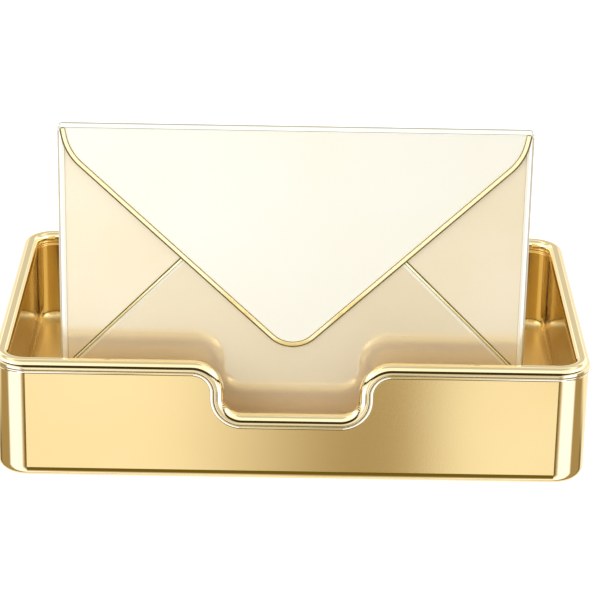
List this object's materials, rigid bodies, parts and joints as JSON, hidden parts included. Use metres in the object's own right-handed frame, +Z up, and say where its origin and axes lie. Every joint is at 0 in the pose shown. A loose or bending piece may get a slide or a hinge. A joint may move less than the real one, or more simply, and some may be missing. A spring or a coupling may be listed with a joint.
{
  "type": "envelope sorter",
  "caption": "Desk tray with a moulded rim and a finger notch in its front wall, holding an upright envelope-shaped letter pocket with a hinged pointed flap.",
  "frame": {"origin": "centre of the felt's underside, the face that the tray rests on", "axes": "+X along the width, +Y from the notched front to the rear, +Z up"},
  "size_m": [0.26, 0.163, 0.1562],
  "materials": {
    "tray_metal": "gold plate with a fine satin grain",
    "liner_metal": "bright gold plate",
    "rim_metal": "polished gold plate",
    "board": "bare fibreboard",
    "base_felt": "black felt",
    "channel_felt": "brown felt",
    "screw_steel": "plain steel",
    "envelope_metal": "pale champagne satin plate",
    "flap_metal": "pale champagne satin plate",
    "bead_metal": "polished gold plate",
    "hinge_metal": "polished gold plate"
  },
  "bodies": {
    "tray": {"outer_shell": "tray_metal", "inner_liner": "liner_metal", "rim_moulding": "rim_metal", "core_board": "board", "base_felt": "base_felt", "base_screws": "screw_steel", "envelope_channel": "liner_metal", "channel_felt": "channel_felt", "channel_screws": "screw_steel"},
    "envelope": {"back_panel": "envelope_metal", "edge_frame": "envelope_metal", "left_leaf": "envelope_metal", "right_leaf": "envelope_metal", "bottom_leaf": "envelope_metal", "left_seam_bead": "bead_metal", "right_seam_bead": "bead_metal", "hinge_fixed_leaf": "hinge_metal", "hinge_pin": "hinge_metal", "hinge_rivets": "hinge_metal"},
    "flap": {"flap_panel": "flap_metal", "flap_bead": "bead_metal", "hinge_moving_leaf": "hinge_metal"}
  },
  "joints": [
    {"name": "envelope_lift", "type": "slide", "parent": "tray", "child": "envelope", "axis": [0, 0, 1], "range_m": [0, 0.055]},
    {"name": "flap_hinge", "type": "hinge", "parent": "envelope", "child": "flap", "pos_m": [0, -0.0538, 0.15445], "axis": [-1, 0, 0], "range_deg": [0, 225]}
  ]
}
